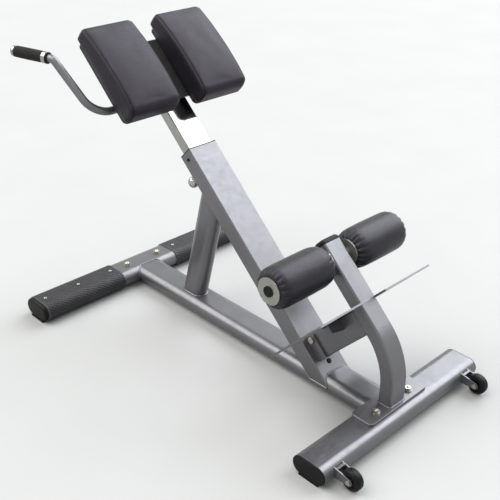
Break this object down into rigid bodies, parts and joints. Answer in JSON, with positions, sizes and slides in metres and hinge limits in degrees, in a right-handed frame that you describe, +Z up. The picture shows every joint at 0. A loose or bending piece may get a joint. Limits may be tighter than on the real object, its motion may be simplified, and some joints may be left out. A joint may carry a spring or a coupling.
{
  "type": "roman chair back extension bench",
  "caption": "Angled back-extension bench: split thigh pads and grips on a height-adjustable post, ankle rollers over a foot plate, wheeled flat-oval tube base",
  "frame": {"origin": "on the floor, under the middle of the bench's bounding box", "axes": "+Z up, +Y from the ankle rollers towards the thigh pads and grips, +X across the bench to the user's right when lying face down with the head towards +Y"},
  "size_m": [0.8, 1.2464, 0.8503],
  "materials": {
    "frame_paint": "silver grey metallic powder coat",
    "chrome": "polished",
    "knob_chrome": "polished, slightly satin",
    "zinc_steel": "nickel plated, slightly warm",
    "satin_steel": "satin",
    "black_plastic": "fine moulded grain",
    "tread_rubber": "black with a raised diamond tread",
    "pad_vinyl": "black upholstery vinyl, satin, fine grain, stitched seam near the edge",
    "roller_vinyl": "black upholstery vinyl gathered at the ends",
    "grip_foam": "dense black foam grip",
    "wheel_black": "black moulded wheel",
    "plywood": "bare plywood, edges showing"
  },
  "bodies": {
    "frame": {"main_base_tube": "frame_paint", "head_base_tube": "frame_paint", "foot_base_tube": "frame_paint", "head_joint_plate": "frame_paint", "foot_joint_plate": "frame_paint", "incline_tube": "frame_paint", "rear_strut": "frame_paint", "upright_mount_plate": "frame_paint", "upright_tube": "frame_paint", "brace_tube": "frame_paint", "brace_bracket": "frame_paint", "foot_plate": "frame_paint", "plate_rib_left": "frame_paint", "plate_rib_right": "frame_paint", "wheel_forks": "frame_paint", "joint_washers": "zinc_steel", "head_joint_bolts": "zinc_steel", "foot_joint_bolts": "zinc_steel", "brace_bolts": "zinc_steel", "brace_nuts": "zinc_steel", "sleeve_screws": "zinc_steel", "wheel_pins": "zinc_steel", "roller_washers": "satin_steel", "roller_axle": "satin_steel", "pull_pin_sleeve": "satin_steel", "bushing_screws": "black_plastic", "head_tube_cap_left": "black_plastic", "head_tube_cap_right": "black_plastic", "foot_tube_cap_left": "black_plastic", "foot_tube_cap_right": "black_plastic", "incline_hole_plug": "black_plastic", "upright_end_plug": "black_plastic", "post_bushing": "black_plastic", "axle_end_plugs": "black_plastic", "tread_sleeve_left": "tread_rubber", "tread_sleeve_right": "tread_rubber"},
    "carriage": {"height_post": "chrome", "post_foot_glide": "black_plastic", "post_top_plug": "black_plastic", "pad_mount_plate": "frame_paint", "pad_board_left": "plywood", "pad_board_right": "plywood", "thigh_pad_left": "pad_vinyl", "thigh_pad_right": "pad_vinyl", "pad_screws": "zinc_steel", "handle_tube_left": "frame_paint", "handle_tube_right": "frame_paint", "grip_left": "grip_foam", "grip_right": "grip_foam", "grip_collars": "chrome", "grip_end_caps": "chrome"},
    "lock_pin": {"pull_pin": "satin_steel", "pull_knob": "knob_chrome"},
    "roller_left": {"roller_core_left": "black_plastic", "ankle_roller_left": "roller_vinyl"},
    "roller_right": {"roller_core_right": "black_plastic", "ankle_roller_right": "roller_vinyl"},
    "transport_wheel_left": {"wheel_left": "wheel_black"},
    "transport_wheel_right": {"wheel_right": "wheel_black"}
  },
  "joints": [
    {"name": "carriage_slide", "type": "slide", "parent": "frame", "child": "carriage", "axis": [0, 0.7314, 0.682], "range_m": [-0.075, 0.1]},
    {"name": "lock_pin_pull", "type": "slide", "parent": "frame", "child": "lock_pin", "axis": [0, -0.682, 0.7314], "range_m": [-0.014, 0], "stiffness_N_per_m": 900, "springref_m": 0.006},
    {"name": "roller_left_spin", "type": "hinge", "parent": "frame", "child": "roller_left", "pos_m": [-0.14, -0.29065, 0.38838], "axis": [1, 0, 0], "continuous": true},
    {"name": "roller_right_spin", "type": "hinge", "parent": "frame", "child": "roller_right", "pos_m": [0.14, -0.29065, 0.38838], "axis": [1, 0, 0], "continuous": true},
    {"name": "wheel_left_spin", "type": "hinge", "parent": "frame", "child": "transport_wheel_left", "pos_m": [-0.26, -0.5952, 0.03], "axis": [1, 0, 0], "continuous": true},
    {"name": "wheel_right_spin", "type": "hinge", "parent": "frame", "child": "transport_wheel_right", "pos_m": [0.26, -0.5952, 0.03], "axis": [1, 0, 0], "continuous": true}
  ]
}
